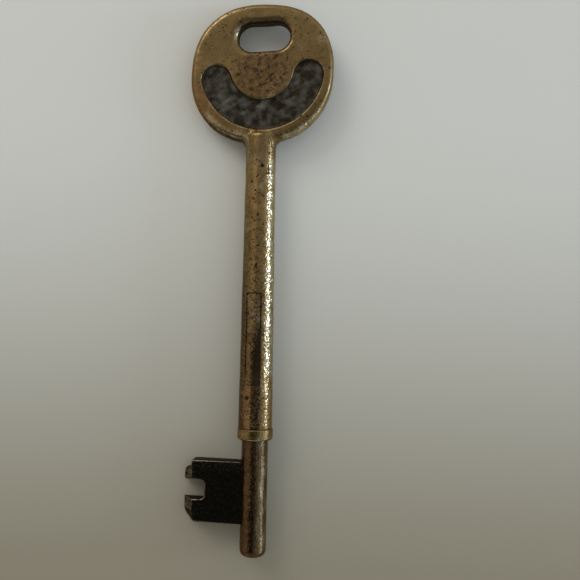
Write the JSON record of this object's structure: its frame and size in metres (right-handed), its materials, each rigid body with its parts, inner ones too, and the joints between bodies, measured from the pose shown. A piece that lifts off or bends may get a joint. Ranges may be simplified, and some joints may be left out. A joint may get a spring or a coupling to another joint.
{
  "type": "skeleton key",
  "caption": "Rigid lever key with a flat oval bow, a key-ring slot, a tapered round shank with a collar, a slimmer pin and a notched side bit.",
  "frame": {"origin": "on the key's axis, at the end face of the collar, where the key stops against the lock", "axes": "+Y along the key's axis towards the bow; +Z out of the bow's face that has the crescent; the bit points to -X"},
  "size_m": [0.0257, 0.0984, 0.0064],
  "materials": {
    "bow_brass": "aged cast brass, worn satin, dark rough ground in the crescent",
    "shank_brass": "aged brass, finely pitted, worn satin",
    "collar_brass": "aged brass, smooth turned satin",
    "pin_brass": "brown patinated brass, drawn and finely pitted",
    "bit_brass": "black-olive patina with lighter worn edges"
  },
  "bodies": {
    "root": {"bow": "bow_brass", "shank": "shank_brass", "collar": "collar_brass", "pin": "pin_brass", "bit": "bit_brass"}
  },
  "joints": []
}
